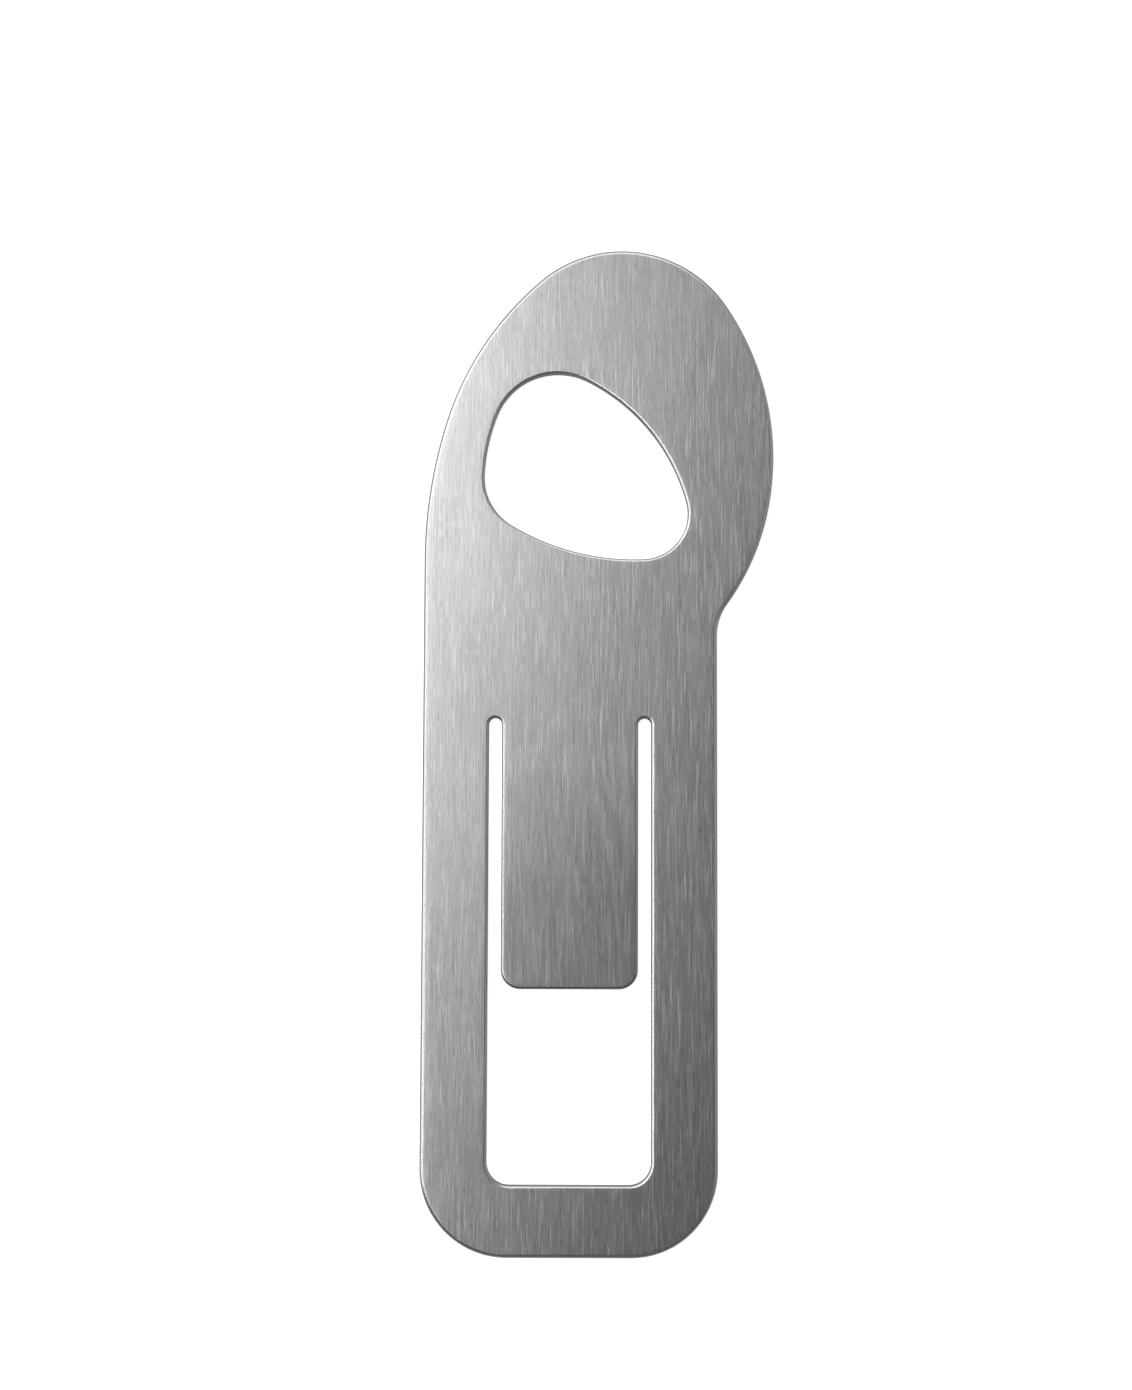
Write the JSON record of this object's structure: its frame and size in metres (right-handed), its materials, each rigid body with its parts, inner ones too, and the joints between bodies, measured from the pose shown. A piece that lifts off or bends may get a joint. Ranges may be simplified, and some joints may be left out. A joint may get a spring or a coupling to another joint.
{
  "type": "bookmark",
  "caption": "Flat brushed-steel page-clip bookmark: a leaning egg-shaped head with a rounded finger hole, a long windowed body and a spring tongue that grips the page.",
  "frame": {"origin": "middle of the outline's box in plan, on the back face that it lies on", "axes": "+Z out of the front face, +Y from the foot to the head, +X to the side that the head leans to"},
  "size_m": [0.0348, 0.1, 0.001],
  "materials": {
    "brushed_steel": "brushed along the length, with tumbled bright edges"
  },
  "bodies": {
    "sheet": {"bookmark_plate": "brushed_steel"},
    "tongue": {"spring_tongue": "brushed_steel"}
  },
  "joints": [
    {"name": "tongue_flex", "type": "hinge", "parent": "sheet", "child": "tongue", "pos_m": [-0.00285, -0.0013, 0.0005], "axis": [-1, 0, 0], "range_deg": [0, 5], "stiffness_Nm_per_rad": 18.3}
  ]
}
